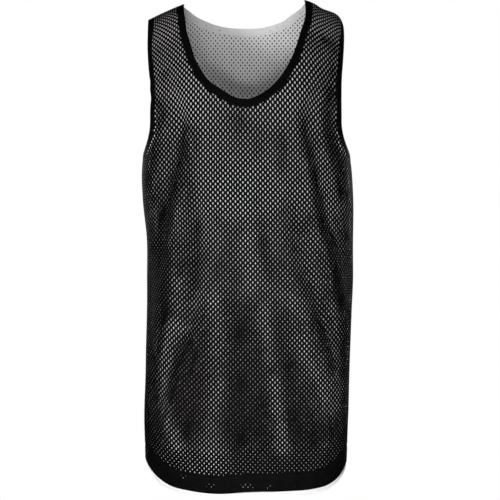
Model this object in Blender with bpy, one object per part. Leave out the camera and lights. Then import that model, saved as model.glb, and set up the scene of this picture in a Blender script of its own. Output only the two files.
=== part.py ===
"""A reversible mesh basketball jersey, in the rounded shape it has when worn, with nobody in it.

Two sleeveless tops, black outside and white inside, lie one in the other and are turned out
along one neck edge and two armhole edges. Each has a front and a back, sewn together down both
sides and over both shoulders, and each has its own turned-up hem.

Metres, +Z up, front towards -Y, wearer's right towards -X. The origin is midway between the
straps, at the height of the shoulders that hold the jersey up.
"""

from functools import lru_cache

import bpy
import numpy as np

# Cloth
OUTER_CLOTH = 0.0012
INNER_CLOTH = 0.0010
LAYER_GAP = 0.0005
SEAM_GAP = 0.0004
HEM_DEPTH = 0.022
HEM_FOLD = 0.0008
HEM_STEP = 0.0010

# The form: level sections up to the chest, then the cloth bends back over the shoulder
CENTRE_Y = -0.025
BEND_LEVEL = -0.230
BEND_RISE = 0.212
BEND_REACH = 0.105
RIDGE_LEVEL_SAMPLES = 241
ROW_SAMPLES = 241

# Half widths, depths from CENTRE_Y and corner exponents (2 is an ellipse, more is squarer)
SECTION_COLUMNS = ("level", "right", "left", "front", "back", "right_corner", "left_corner")
SECTIONS = (
    (-0.800, 0.164, 0.157, 0.070, 0.104, 2.10, 2.55),
    (-0.735, 0.167, 0.160, 0.076, 0.104, 2.10, 2.60),
    (-0.680, 0.169, 0.162, 0.082, 0.102, 2.15, 2.60),
    (-0.600, 0.166, 0.165, 0.088, 0.099, 2.25, 2.60),
    (-0.515, 0.165, 0.167, 0.093, 0.098, 2.40, 2.55),
    (-0.450, 0.165, 0.171, 0.097, 0.101, 2.50, 2.50),
    (-0.385, 0.164, 0.170, 0.101, 0.106, 2.55, 2.55),
    (-0.320, 0.170, 0.170, 0.106, 0.111, 2.55, 2.55),
    (-0.282, 0.1715, 0.168, 0.107, 0.112, 2.55, 2.55),
    (-0.240, 0.169, 0.164, 0.107, 0.111, 2.50, 2.50),
    (-0.150, 0.170, 0.165, 0.107, 0.110, 2.50, 2.50),
    (0.050, 0.172, 0.166, 0.107, 0.110, 2.50, 2.50),
)

# Height of the shoulder line across the garment
RIDGE_COLUMNS = ("x", "z")
RIDGE = (
    (-0.172, -0.0290),
    (-0.162, -0.0240),
    (-0.134, -0.0112),
    (-0.105, 0.0005),
    (-0.080, 0.0060),
    (0.000, 0.0080),
    (0.075, 0.0075),
    (0.096, 0.0065),
    (0.108, 0.0017),
    (0.121, -0.0064),
    (0.135, -0.0112),
    (0.144, -0.0152),
    (0.150, -0.0205),
    (0.155, -0.0305),
    (0.158, -0.0430),
    (0.168, -0.0700),
)

# Neck edges as they lie on the body: height, and how far each side stands from the middle
NECK_COLUMNS = ("z", "right", "left")
FRONT_NECK = (
    (-0.1702, 0.0000, 0.0000),
    (-0.1695, 0.0100, 0.0030),
    (-0.1675, 0.0188, 0.0085),
    (-0.1625, 0.0290, 0.0192),
    (-0.1570, 0.0374, 0.0275),
    (-0.1425, 0.0579, 0.0432),
    (-0.1233, 0.0720, 0.0570),
    (-0.1029, 0.0827, 0.0680),
    (-0.0835, 0.0885, 0.0752),
    (-0.0578, 0.0963, 0.0830),
    (-0.0330, 0.1001, 0.0905),
    (-0.0070, 0.1040, 0.0918),
    (0.0200, 0.1060, 0.0920),
)
BACK_NECK = (
    (-0.0305, 0.000, 0.000),
    (-0.0297, 0.022, 0.018),
    (-0.0278, 0.040, 0.031),
    (-0.0250, 0.054, 0.042),
    (-0.0198, 0.070, 0.058),
    (-0.0133, 0.086, 0.068),
    (-0.0062, 0.097, 0.080),
    (-0.0015, 0.105, 0.087),
    (0.0028, 0.110, 0.092),
    (0.0200, 0.120, 0.092),
)

# Armhole edges: nearly straight down from the shoulder, then a quarter round to the side seam
UNDERARM_LEVEL = -0.252
ARMHOLE_TURN_LEVEL = -0.200
ARMHOLE_COLUMNS = ("level", "right", "left")
ARMHOLE = (
    (-0.252, 0.1550, 0.1480),
    (-0.200, 0.1546, 0.1478),
    (-0.160, 0.1548, 0.1478),
    (-0.130, 0.1562, 0.1488),
    (-0.100, 0.1592, 0.1512),
    (-0.075, 0.1610, 0.1532),
    (-0.040, 0.1620, 0.1552),
    (0.000, 0.1630, 0.1560),
    (0.050, 0.1650, 0.1570),
)

# Hem edges of both layers, front and back alike: the levels at shares of the way to a side seam
HEM_COLUMNS = ("share", "outer", "inner")
HEM = (
    (-1.00, -0.7375, -0.7420),
    (-0.94, -0.7392, -0.7440),
    (-0.87, -0.7482, -0.7522),
    (-0.76, -0.7632, -0.7708),
    (-0.65, -0.7735, -0.7802),
    (-0.49, -0.7795, -0.7845),
    (-0.25, -0.7832, -0.7880),
    (0.00, -0.7800, -0.7815),
    (0.30, -0.7790, -0.7824),
    (0.54, -0.7765, -0.7843),
    (0.65, -0.7727, -0.7808),
    (0.76, -0.7628, -0.7700),
    (0.86, -0.7480, -0.7565),
    (0.94, -0.7395, -0.7455),
    (1.00, -0.7375, -0.7420),
)

# Long soft folds. Each drops the cloth back towards the side along a line of steepest slope
FOLD_WIDTH = 0.014
FOLD_COLUMNS = ("level", "x", "depth")
FRONT_FOLDS = {
    "right_upper": (
        (-0.100, -0.128, 0.0000),
        (-0.150, -0.112, 0.0030),
        (-0.198, -0.096, 0.0050),
        (-0.245, -0.099, 0.0068),
        (-0.291, -0.112, 0.0070),
        (-0.338, -0.121, 0.0062),
        (-0.400, -0.127, 0.0052),
        (-0.447, -0.137, 0.0040),
        (-0.509, -0.149, 0.0020),
        (-0.560, -0.155, 0.0000),
    ),
    "right_lower": (
        (-0.270, -0.072, 0.0000),
        (-0.322, -0.074, 0.0026),
        (-0.400, -0.071, 0.0040),
        (-0.447, -0.075, 0.0046),
        (-0.509, -0.081, 0.0052),
        (-0.555, -0.099, 0.0054),
        (-0.602, -0.118, 0.0048),
        (-0.648, -0.134, 0.0036),
        (-0.695, -0.145, 0.0020),
        (-0.750, -0.150, 0.0000),
    ),
    "left_upper": (
        (-0.120, 0.128, 0.0000),
        (-0.160, 0.104, 0.0028),
        (-0.198, 0.088, 0.0046),
        (-0.260, 0.099, 0.0062),
        (-0.315, 0.109, 0.0066),
        (-0.353, 0.116, 0.0060),
        (-0.400, 0.135, 0.0044),
        (-0.462, 0.148, 0.0022),
        (-0.510, 0.153, 0.0000),
    ),
    "left_lower": (
        (-0.290, 0.060, 0.0000),
        (-0.353, 0.062, 0.0030),
        (-0.400, 0.069, 0.0040),
        (-0.447, 0.086, 0.0048),
        (-0.509, 0.106, 0.0050),
        (-0.555, 0.130, 0.0038),
        (-0.602, 0.142, 0.0022),
        (-0.660, 0.148, 0.0000),
    ),
}
BACK_FOLDS = {
    "right_blade": (
        (-0.130, -0.120, 0.0000),
        (-0.200, -0.104, 0.0040),
        (-0.270, -0.108, 0.0058),
        (-0.350, -0.122, 0.0050),
        (-0.430, -0.136, 0.0028),
        (-0.500, -0.146, 0.0000),
    ),
    "right_hip": (
        (-0.330, -0.058, 0.0000),
        (-0.430, -0.064, 0.0036),
        (-0.520, -0.078, 0.0050),
        (-0.610, -0.106, 0.0044),
        (-0.690, -0.134, 0.0022),
        (-0.745, -0.142, 0.0000),
    ),
    "left_blade": (
        (-0.120, 0.116, 0.0000),
        (-0.190, 0.098, 0.0038),
        (-0.260, 0.102, 0.0056),
        (-0.330, 0.114, 0.0050),
        (-0.400, 0.130, 0.0030),
        (-0.470, 0.142, 0.0000),
    ),
    "left_hip": (
        (-0.350, 0.066, 0.0000),
        (-0.450, 0.074, 0.0034),
        (-0.540, 0.092, 0.0048),
        (-0.620, 0.120, 0.0038),
        (-0.690, 0.140, 0.0016),
        (-0.740, 0.146, 0.0000),
    ),
}

# Facets of the walls
HALF_COLUMNS = 12
BODY_BASE_LEVEL = -0.690
BODY_ROWS = 10
ARMHOLE_ROW_ANGLES = (22.0, 42.0, 62.0, 90.0)
FRONT_CHEST_ROWS = 1
FRONT_STRAP_ROWS = 10
BACK_CHEST_ROWS = 5
BACK_STRAP_ROWS = 5
NECK_SAMPLES = 200
NECK_CROWDING = 1.4
EDGE_CROWDING = 3.0
SEAM_SHARE = 1.0 - SEAM_GAP / 2 / 0.24
SLOPE_PROBE = 0.0005


def column(table, names, name):
    """One named column of a table, as an array."""
    return np.array([row[names.index(name)] for row in table])


def smooth(at, places, values):
    """Cubic through a table's values, with each tangent from its two neighbours."""
    order = np.argsort(places)
    places, values = places[order], values[order]
    at = np.clip(at, places[0], places[-1])
    tangents = np.gradient(values, places)
    k = np.clip(np.searchsorted(places, at) - 1, 0, len(places) - 2)
    span = places[k + 1] - places[k]
    u = (at - places[k]) / span
    start = (1 + 2 * u) * (1 - u) ** 2 * values[k] + u * (1 - u) ** 2 * span * tangents[k]
    end = u * u * (3 - 2 * u) * values[k + 1] - u * u * (1 - u) * span * tangents[k + 1]
    return start + end


def from_table(table, names, at, name):
    """A table's named column, read at places in its first column."""
    return smooth(np.asarray(at, float), column(table, names, names[0]), column(table, names, name))


def bend_arc():
    """Angles over the shoulder bend, and the length of cloth from its start to each."""
    angles = np.linspace(0.0, np.pi / 2, RIDGE_LEVEL_SAMPLES)
    back = BEND_REACH * (1 - np.cos(angles))
    up = BEND_RISE * np.sin(angles)
    steps = np.hypot(np.diff(back), np.diff(up))
    return angles, np.concatenate([[0.0], np.cumsum(steps)])


BEND_ANGLES, BEND_LENGTHS = bend_arc()
RIDGE_LEVEL = BEND_LEVEL + BEND_LENGTHS[-1]


def bend_angle(level):
    """How far round the shoulder the cloth has turned at a level: 0 up to the bend's start."""
    return np.interp(level - BEND_LEVEL, BEND_LENGTHS, BEND_ANGLES)


def fold_depth(side, level, x):
    """How far the long folds push the cloth out at a level, over an array of x."""
    folds = FRONT_FOLDS if side == "front" else BACK_FOLDS
    total = np.zeros_like(x)
    for table in folds.values():
        levels = column(table, FOLD_COLUMNS, "level")
        if not levels.min() < level < levels.max():
            continue
        line = from_table(table, FOLD_COLUMNS, level, "x")
        depth = from_table(table, FOLD_COLUMNS, level, "depth")
        across = (x - line) / FOLD_WIDTH * -np.sign(line)
        total += depth * across * np.exp((1 - across**2) / 2)
    return total


@lru_cache(maxsize=None)
def row_of(side, level):
    """One row of cloth from the right side seam to the left, as points, and its shares of the way.

    Shares run from -1 at the right seam through 0 at the middle to 1 at the left seam.
    """
    turn = np.linspace(-np.pi / 2, np.pi / 2, ROW_SAMPLES)
    read = {n: float(from_table(SECTIONS, SECTION_COLUMNS, level, n)) for n in SECTION_COLUMNS[1:]}
    corner = np.where(turn < 0, read["right_corner"], read["left_corner"])
    half = np.where(turn < 0, read["right"], read["left"])
    x = half * np.sign(turn) * np.abs(np.sin(turn)) ** (2 / corner)
    out = read[side] * np.abs(np.cos(turn)) ** (2 / corner)
    along = np.gradient(np.stack([x, out], axis=1), axis=0)
    along /= np.linalg.norm(along, axis=1, keepdims=True)
    push = fold_depth(side, level, x)
    x, out = x - along[:, 1] * push, out + along[:, 0] * push

    facing = -1.0 if side == "front" else 1.0
    chest_y = CENTRE_Y + facing * out
    angle = bend_angle(level)
    rise = from_table(RIDGE, RIDGE_COLUMNS, x, "z") - BEND_LEVEL
    y = chest_y * np.cos(angle)
    z = min(level, BEND_LEVEL) + rise * np.sin(angle)
    points = np.stack([x, y, z], axis=1)
    lengths = np.concatenate([[0.0], np.cumsum(np.linalg.norm(np.diff(points, axis=0), axis=1))])
    middle = np.interp(0.0, x, lengths)
    right, left = middle, lengths[-1] - middle
    shares = np.where(lengths < middle, (lengths - middle) / right, (lengths - middle) / left)
    return points, shares


def on_row(row, share):
    """The point at a share of the way along a row."""
    points, shares = row
    return np.array([np.interp(share, shares, points[:, k]) for k in range(3)])


def share_at_x(row, x):
    """The share of the way along a row where it reaches x."""
    points, shares = row
    inner = np.abs(shares) < 0.97
    return float(np.interp(x, points[inner, 0], shares[inner]))


def armhole_share(row, level, wearer_side):
    """The share of a row at which an armhole edge cuts it: 1 from the underarm down."""
    if level <= UNDERARM_LEVEL:
        return 1.0
    sign = -1.0 if wearer_side == "right" else 1.0
    reach = float(from_table(ARMHOLE, ARMHOLE_COLUMNS, level, wearer_side))
    edge = abs(share_at_x(row, sign * reach))
    down = (ARMHOLE_TURN_LEVEL - level) / (ARMHOLE_TURN_LEVEL - UNDERARM_LEVEL)
    down = min(max(down, 0.0), 1.0)
    return edge + (1 - edge) * (1 - np.sqrt(1 - down * down))


def neck_share(side, row, wearer_side):
    """The share of a row at which the neck edge cuts it: 0 where the row passes below it."""
    table = FRONT_NECK if side == "front" else BACK_NECK
    points, shares = row
    sign = -1.0 if wearer_side == "right" else 1.0
    half = (shares * sign > 0) & (np.abs(shares) < 0.97)
    out, z = np.abs(points[half, 0]), points[half, 2]
    beyond = out - from_table(table, NECK_COLUMNS, z, wearer_side)
    order = np.argsort(out)
    beyond, part = beyond[order], np.abs(shares[half])[order]
    inside = np.nonzero(beyond < 0)[0]
    if len(inside) == 0:
        return 0.0
    k = min(inside[-1], len(part) - 2)
    return float(part[k] + (part[k + 1] - part[k]) * beyond[k] / (beyond[k] - beyond[k + 1]))


def level_at(x, z):
    """The level of the cloth that lies at a height z on the shoulder bend, above a place x."""
    rise = from_table(RIDGE, RIDGE_COLUMNS, x, "z") - BEND_LEVEL
    angle = np.arcsin(np.clip((z - BEND_LEVEL) / rise, 0.0, 1.0))
    return BEND_LEVEL + np.interp(angle, BEND_ANGLES, BEND_LENGTHS)


def strap_levels(side, rows):
    """Levels from the bottom of the neck to the shoulder seam, closer where the neck turns."""
    table = FRONT_NECK if side == "front" else BACK_NECK
    z = np.linspace(table[0][0], 0.0, NECK_SAMPLES)
    out = from_table(table, NECK_COLUMNS, z, "right")
    levels = np.minimum(level_at(-out, z), RIDGE_LEVEL - SEAM_GAP / 2)
    levels[-1] = RIDGE_LEVEL - SEAM_GAP / 2
    lengths = np.concatenate([[0.0], np.cumsum(np.hypot(np.diff(out), np.diff(levels)))])
    shares = np.linspace(0.0, 1.0, rows + 1) ** NECK_CROWDING
    return np.interp(shares * lengths[-1], lengths, levels)


def half_row(columns, inner, outer):
    """Shares of the way for a half row's columns, crowded towards the armhole edge as it cuts in."""
    spread = columns * (1 - (1 - outer) * columns**EDGE_CROWDING) / outer
    return inner + (outer - inner) * spread


def hem_level(layer, share):
    """The level of a layer's hem edge at a share of the way to the side seam."""
    return float(from_table(HEM, HEM_COLUMNS, share, layer))


def surface(side, share, level):
    """The point of the jersey's outermost face at a share and a level, and the way out of it."""
    here = on_row(row_of(side, level), share)
    beside = on_row(row_of(side, level), share + (SLOPE_PROBE if share < 0 else -SLOPE_PROBE))
    across = (beside - here) * (1 if share < 0 else -1)
    step = SLOPE_PROBE if level < RIDGE_LEVEL - 2 * SLOPE_PROBE else -SLOPE_PROBE
    up = (on_row(row_of(side, level + step), share) - here) * np.sign(step)
    out = np.cross(across, up) * (1 if side == "front" else -1)
    return here, out / np.linalg.norm(out)


def panel_rows(side, layer):
    """The grid of a panel: body rows right across, then rows over the right and the left strap.

    Each entry is a list of (share, level, hem) with hem true on the doubled cloth of the hem.
    """
    half = np.linspace(0.0, 1.0, HALF_COLUMNS + 1)
    across = np.concatenate([-half[:0:-1], half]) * SEAM_SHARE
    hems = [(c, hem_level(layer, c)) for c in across]
    body = [
        [(c, h, True) for c, h in hems],
        [(c, h + HEM_DEPTH, True) for c, h in hems],
        [(c, h + HEM_DEPTH + HEM_STEP, False) for c, h in hems],
    ]
    for level in np.linspace(BODY_BASE_LEVEL, UNDERARM_LEVEL, BODY_ROWS):
        body.append([(c, level, False) for c in across])

    turn = ARMHOLE_TURN_LEVEL - UNDERARM_LEVEL
    upper = [UNDERARM_LEVEL + turn * (1 - np.cos(np.radians(a))) for a in ARMHOLE_ROW_ANGLES]
    chest_rows, rows = (
        (FRONT_CHEST_ROWS, FRONT_STRAP_ROWS) if side == "front" else (BACK_CHEST_ROWS, BACK_STRAP_ROWS)
    )
    levels = strap_levels(side, rows)
    upper += list(np.linspace(ARMHOLE_TURN_LEVEL, levels[0], chest_rows + 1)[1:])
    for level in upper:
        row = row_of(side, level)
        right, left = (armhole_share(row, level, w) * SEAM_SHARE for w in ("right", "left"))
        shares = np.concatenate([-half_row(half, 0.0, right)[:0:-1], half_row(half, 0.0, left)])
        body.append([(c, level, False) for c in shares])

    right_strap, left_strap = [body[-1][HALF_COLUMNS::-1]], [body[-1][HALF_COLUMNS:]]
    for level in levels[1:]:
        row = row_of(side, level)
        for strap, wearer_side, sign in ((right_strap, "right", -1), (left_strap, "left", 1)):
            outer = armhole_share(row, level, wearer_side) * SEAM_SHARE
            inner = neck_share(side, row, wearer_side)
            strap.append([(sign * c, level, False) for c in half_row(half, inner, outer)])
    return body, [row[::-1] for row in right_strap], left_strap


def panel(name, side, layer, material):
    """A cut piece of cloth as one closed wall, lying in its place in the jersey."""
    inset, cloth = (0.0, OUTER_CLOTH) if layer == "outer" else (OUTER_CLOTH + LAYER_GAP, INNER_CLOTH)
    vertices, faces, numbers = [], [], {}

    def number(cell, face_out):
        share, level, hem = cell
        key = (round(share, 7), round(level, 7), face_out)
        if key not in numbers:
            point, out = surface(side, share, level)
            depth = inset if face_out else inset + cloth
            if hem and layer == "outer" and face_out:
                depth -= HEM_FOLD
            if hem and layer == "inner" and not face_out:
                depth += HEM_FOLD
            numbers[key] = len(vertices)
            vertices.append(point - out * depth)
        return numbers[key]

    edges = {}
    for grid in panel_rows(side, layer):
        for low, high in zip(grid[:-1], grid[1:]):
            for k in range(len(low) - 1):
                cells = (low[k], low[k + 1], high[k + 1], high[k])
                ring = [number(c, True) for c in cells]
                back = [number(c, False) for c in cells]
                if side == "back":
                    ring, back = ring[::-1], back[::-1]
                for face in split(ring):
                    faces.append(face)
                for face in split(back):
                    faces.append(face[::-1])
                for a, b, c, d in zip(ring, ring[1:] + ring[:1], back, back[1:] + back[:1]):
                    if a != b:
                        edges[(a, b)] = (c, d)
    for (a, b), (c, d) in edges.items():
        if (b, a) not in edges:
            faces.append([b, a, c, d])
    mesh = bpy.data.meshes.new(name)
    mesh.from_pydata([tuple(v) for v in vertices], [], faces)
    mesh.materials.append(material)
    mesh.shade_smooth()
    mesh.set_sharp_from_angle(angle=np.radians(50))
    piece = bpy.data.objects.new(name, mesh)
    bpy.context.collection.objects.link(piece)
    return piece


def split(ring):
    """A cell's corners as faces: one triangle where two corners fall together, else two."""
    distinct = [v for k, v in enumerate(ring) if v != ring[k - 1]]
    if len(distinct) == 3:
        return [distinct]
    a, b, c, d = distinct
    return [[a, b, c], [a, c, d]]


def cloth_material(name, color, roughness):
    """A plain cloth finish."""
    material = bpy.data.materials.new(name)
    material.use_nodes = True
    shader = material.node_tree.nodes["Principled BSDF"]
    shader.inputs["Base Color"].default_value = (*color, 1.0)
    shader.inputs["Roughness"].default_value = roughness
    shader.inputs["Metallic"].default_value = 0.0
    return material


def main():
    for item in list(bpy.data.objects):
        bpy.data.objects.remove(item)
    panels = (
        ("outer_front", "front", "outer", (0.012, 0.012, 0.013), 0.62),
        ("outer_back", "back", "outer", (0.012, 0.012, 0.013), 0.62),
        ("inner_front", "front", "inner", (0.80, 0.80, 0.80), 0.75),
        ("inner_back", "back", "inner", (0.80, 0.80, 0.80), 0.75),
    )
    for name, side, layer, color, roughness in panels:
        panel(name, side, layer, cloth_material(name, color, roughness))


main()
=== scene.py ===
"""The looks of a reversible basketball jersey: black porthole mesh worn over white porthole mesh.

Each panel is one sheet of cloth with its real holes. Its edges are turned in between the layers,
so that a band without open holes shows along the neck, the armholes, the seams and the hem. Where
the holes of the two layers miss each other, white cloth shows through the black; where they line
up, the dark inside of the jersey does.

Metres, +Z up, front towards -Y, wearer's right towards -X. A place on the cloth is (across, level):
how far it is from the middle along its row, and the row's height, which runs on over the shoulder.
"""

from functools import lru_cache

import bpy
import numpy as np
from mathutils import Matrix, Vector


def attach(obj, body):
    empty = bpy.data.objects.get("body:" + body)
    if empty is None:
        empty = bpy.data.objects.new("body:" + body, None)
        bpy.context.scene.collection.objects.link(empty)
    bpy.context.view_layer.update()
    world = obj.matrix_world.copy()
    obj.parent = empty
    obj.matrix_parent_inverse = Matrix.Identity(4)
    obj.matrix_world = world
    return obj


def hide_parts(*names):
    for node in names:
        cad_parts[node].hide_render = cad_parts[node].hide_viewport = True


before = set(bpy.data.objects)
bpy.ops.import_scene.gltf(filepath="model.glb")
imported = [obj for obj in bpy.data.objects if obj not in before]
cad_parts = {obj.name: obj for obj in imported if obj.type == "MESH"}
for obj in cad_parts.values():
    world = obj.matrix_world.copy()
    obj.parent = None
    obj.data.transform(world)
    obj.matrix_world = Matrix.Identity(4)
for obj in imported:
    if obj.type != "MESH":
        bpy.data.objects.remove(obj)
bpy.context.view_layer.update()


def metres(table):
    """Numbers in millimetres, as an array in metres."""
    return np.asarray(table, float) / 1000


def table_of(names, rows):
    """A table's columns by their names. It is read by its first column."""
    return dict(zip(names.split(), np.array(rows, float).T))


# ---------------- the form, as in the solids

CENTRE_Y = -0.025
BEND_LEVEL = -0.230
BEND_RISE = 0.212
BEND_REACH = 0.105
SAMPLES = 241

# Half widths, depths from CENTRE_Y and corner exponents (2 is an ellipse, more is squarer)
SECTIONS = table_of("level right left front back right_corner left_corner", (
    (-0.800, 0.164, 0.157, 0.070, 0.104, 2.10, 2.55),
    (-0.735, 0.167, 0.160, 0.076, 0.104, 2.10, 2.60),
    (-0.680, 0.169, 0.162, 0.082, 0.102, 2.15, 2.60),
    (-0.600, 0.166, 0.165, 0.088, 0.099, 2.25, 2.60),
    (-0.515, 0.165, 0.167, 0.093, 0.098, 2.40, 2.55),
    (-0.450, 0.165, 0.171, 0.097, 0.101, 2.50, 2.50),
    (-0.385, 0.164, 0.170, 0.101, 0.106, 2.55, 2.55),
    (-0.320, 0.170, 0.170, 0.106, 0.111, 2.55, 2.55),
    (-0.282, 0.1715, 0.168, 0.107, 0.112, 2.55, 2.55),
    (-0.240, 0.169, 0.164, 0.107, 0.111, 2.50, 2.50),
    (-0.150, 0.170, 0.165, 0.107, 0.110, 2.50, 2.50),
    (0.050, 0.172, 0.166, 0.107, 0.110, 2.50, 2.50),
))

# Height of the shoulder line across the garment
RIDGE = table_of("x z", metres((
    (-172, -29), (-162, -24), (-134, -11.2), (-105, 0.5), (-80, 6), (0, 8), (75, 7.5), (96, 6.5),
    (108, 1.7), (121, -6.4), (135, -11.2), (144, -15.2), (150, -20.5), (155, -30.5), (158, -43),
    (168, -70),
)))

# Neck edges as they lie on the body: height, and how far each side stands from the middle
FRONT_NECK = table_of("z right left", metres((
    (-170.2, 0, 0), (-169.5, 10, 3), (-167.5, 18.8, 8.5), (-162.5, 29, 19.2), (-157, 37.4, 27.5),
    (-142.5, 57.9, 43.2), (-123.3, 72, 57), (-102.9, 82.7, 68), (-83.5, 88.5, 75.2), (-57.8, 96.3, 83),
    (-33, 100.1, 90.5), (-7, 104, 91.8), (20, 106, 92),
)))
BACK_NECK = table_of("z right left", metres((
    (-30.5, 0, 0), (-29.7, 22, 18), (-27.8, 40, 31), (-25, 54, 42), (-19.8, 70, 58), (-13.3, 86, 68),
    (-6.2, 97, 80), (-1.5, 105, 87), (2.8, 110, 92), (20, 120, 92),
)))

# Armhole edges: nearly straight down from the shoulder, then a quarter round to the side seam
UNDERARM_LEVEL = -0.252
ARMHOLE_TURN_LEVEL = -0.200
ARMHOLE = table_of("level right left", metres((
    (-252, 155, 148), (-200, 154.6, 147.8), (-160, 154.8, 147.8), (-130, 156.2, 148.8),
    (-100, 159.2, 151.2), (-75, 161, 153.2), (-40, 162, 155.2), (0, 163, 156), (50, 165, 157),
)))

# Hem edges of both layers, front and back alike: the levels at shares of the way to a side seam
HEM = table_of("share outer inner", (
    (-1.00, -0.7375, -0.7420), (-0.94, -0.7392, -0.7440), (-0.87, -0.7482, -0.7522),
    (-0.76, -0.7632, -0.7708), (-0.65, -0.7735, -0.7802), (-0.49, -0.7795, -0.7845),
    (-0.25, -0.7832, -0.7880), (0.00, -0.7800, -0.7815), (0.30, -0.7790, -0.7824),
    (0.54, -0.7765, -0.7843), (0.65, -0.7727, -0.7808), (0.76, -0.7628, -0.7700),
    (0.86, -0.7480, -0.7565), (0.94, -0.7395, -0.7455), (1.00, -0.7375, -0.7420),
))

# Long soft folds. Each drops the cloth back towards the side along a line of steepest slope.
# In millimetres: the level, the line's x and the depth
FOLD_WIDTH = 0.014
FRONT_FOLDS = {
    "right_upper": (
        (-100, -128, 0), (-150, -112, 3), (-198, -96, 5), (-245, -99, 6.8), (-291, -112, 7),
        (-338, -121, 6.2), (-400, -127, 5.2), (-447, -137, 4), (-509, -149, 2), (-560, -155, 0),
    ),
    "right_lower": (
        (-270, -72, 0), (-322, -74, 2.6), (-400, -71, 4), (-447, -75, 4.6), (-509, -81, 5.2),
        (-555, -99, 5.4), (-602, -118, 4.8), (-648, -134, 3.6), (-695, -145, 2), (-750, -150, 0),
    ),
    "left_upper": (
        (-120, 128, 0), (-160, 104, 2.8), (-198, 88, 4.6), (-260, 99, 6.2), (-315, 109, 6.6),
        (-353, 116, 6), (-400, 135, 4.4), (-462, 148, 2.2), (-510, 153, 0),
    ),
    "left_lower": (
        (-290, 60, 0), (-353, 62, 3), (-400, 69, 4), (-447, 86, 4.8), (-509, 106, 5),
        (-555, 130, 3.8), (-602, 142, 2.2), (-660, 148, 0),
    ),
}
BACK_FOLDS = {
    "right_blade": (
        (-130, -120, 0), (-200, -104, 4), (-270, -108, 5.8), (-350, -122, 5), (-430, -136, 2.8),
        (-500, -146, 0),
    ),
    "right_hip": (
        (-330, -58, 0), (-430, -64, 3.6), (-520, -78, 5), (-610, -106, 4.4), (-690, -134, 2.2),
        (-745, -142, 0),
    ),
    "left_blade": (
        (-120, 116, 0), (-190, 98, 3.8), (-260, 102, 5.6), (-330, 114, 5), (-400, 130, 3),
        (-470, 142, 0),
    ),
    "left_hip": (
        (-350, 66, 0), (-450, 74, 3.4), (-540, 92, 4.8), (-620, 120, 3.8), (-690, 140, 1.6),
        (-740, 146, 0),
    ),
}

# ---------------- finer creases

# Soft troughs in millimetres: (depth, width, line), the line as (level, across)
FRONT_CREASES = (
    (1.3, 7, ((-75, -150), (-73, -112))),
    (1.4, 8, ((-134, -165), (-129, -135), (-115, -104))),
    (1.6, 10, ((-160, -172), (-180, -135), (-205, -112))),
    (1.6, 9, ((-87, 92), (-76, 116), (-71, 146))),
    (1.2, 8, ((-118, 150), (-110, 110))),
    (1.8, 12, ((-137, 142), (-175, 140), (-225, 144), (-262, 150))),
    (1.2, 10, ((-205, 50), (-232, 54), (-262, 57))),
    (1.4, 9, ((-320, -79), (-402, -82), (-470, -94))),
    (1.1, 8, ((-340, 23), (-380, 26), (-426, 29))),
    (1.3, 9, ((-343, 100), (-358, 80), (-376, 56))),
    (1.5, 9, ((-430, 98), (-480, 115), (-545, 136), (-590, 146))),
    (1.2, 10, ((-520, 18), (-600, 24), (-690, 32), (-750, 36))),
    (1.3, 11, ((-560, 64), (-620, 74), (-690, 83), (-756, 90))),
    (1.3, 10, ((-500, -26), (-600, -24), (-700, -28), (-765, -30))),
    (1.4, 10, ((-600, -80), (-670, -84), (-735, -82))),
    (1.5, 12, ((-420, -186), (-500, -176), (-590, -170), (-650, -172))),
    (1.5, 12, ((-330, 184), (-420, 186), (-500, 180), (-560, 176))),
)
BACK_CREASES = (
    (1.3, 8, ((-60, -150), (-64, -112))),
    (1.5, 9, ((-112, -168), (-106, -130), (-92, -98))),
    (1.4, 9, ((-74, 98), (-70, 124), (-78, 150))),
    (1.6, 10, ((-150, 160), (-176, 128), (-198, 108))),
    (1.6, 12, ((-180, -158), (-228, -150), (-268, -152))),
    (1.3, 12, ((-70, -30), (-120, -34), (-190, -44), (-250, -50))),
    (1.2, 11, ((-66, 36), (-130, 40), (-200, 46))),
    (1.4, 10, ((-330, -20), (-420, -26), (-500, -34), (-560, -38))),
    (1.3, 9, ((-380, 30), (-460, 36), (-540, 40))),
    (1.5, 10, ((-470, -110), (-540, -120), (-620, -140), (-670, -152))),
    (1.4, 10, ((-450, 118), (-530, 134), (-600, 152))),
    (1.4, 11, ((-600, -64), (-680, -70), (-755, -74))),
    (1.3, 10, ((-590, 22), (-680, 30), (-765, 34))),
    (1.4, 11, ((-620, 78), (-690, 86), (-758, 92))),
    (1.5, 12, ((-400, -188), (-480, -180), (-570, -176))),
    (1.5, 12, ((-360, 188), (-450, 184), (-540, 178))),
)

# ---------------- cloth and its holes

# Depths below the outermost face, from outside in: the cloth, its turned edge, and the inner pair
OUTER_DEPTH = 0.0004
OUTER_TURNED_DEPTH = 0.0008
INNER_TURNED_DEPTH = 0.0012
INNER_DEPTH = 0.0016
CLOTH_RELIEF = 0.00018
RIM = 0.0006
# The turn of an edge: insets as shares of RIM, and shares of the upper, middle and lower depth
RIM_PROFILE = (
    (1.2, 1, 0, 0), (0.35, 0.8, 0.2, 0), (0, 0, 1, 0), (0.35, 0, 0.2, 0.8), (1.2, 0, 0, 1),
)
# What is left between two panels at a seam, and how far in they are drawn to one seam line
SEAM_GAP = 0.00004
SEAM_BLEND = 0.030

# Turned-in widths, and the hem's depth to its line of stitches
NECK_TURN = 0.0115
ARMHOLE_TURN = 0.0115
SEAM_TURN = 0.008
SHOULDER_TURN = 0.007
HEM_TURN = 0.029
HEM_STITCH_LINE = 0.0232
STITCH_INSET = 0.0012

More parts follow.
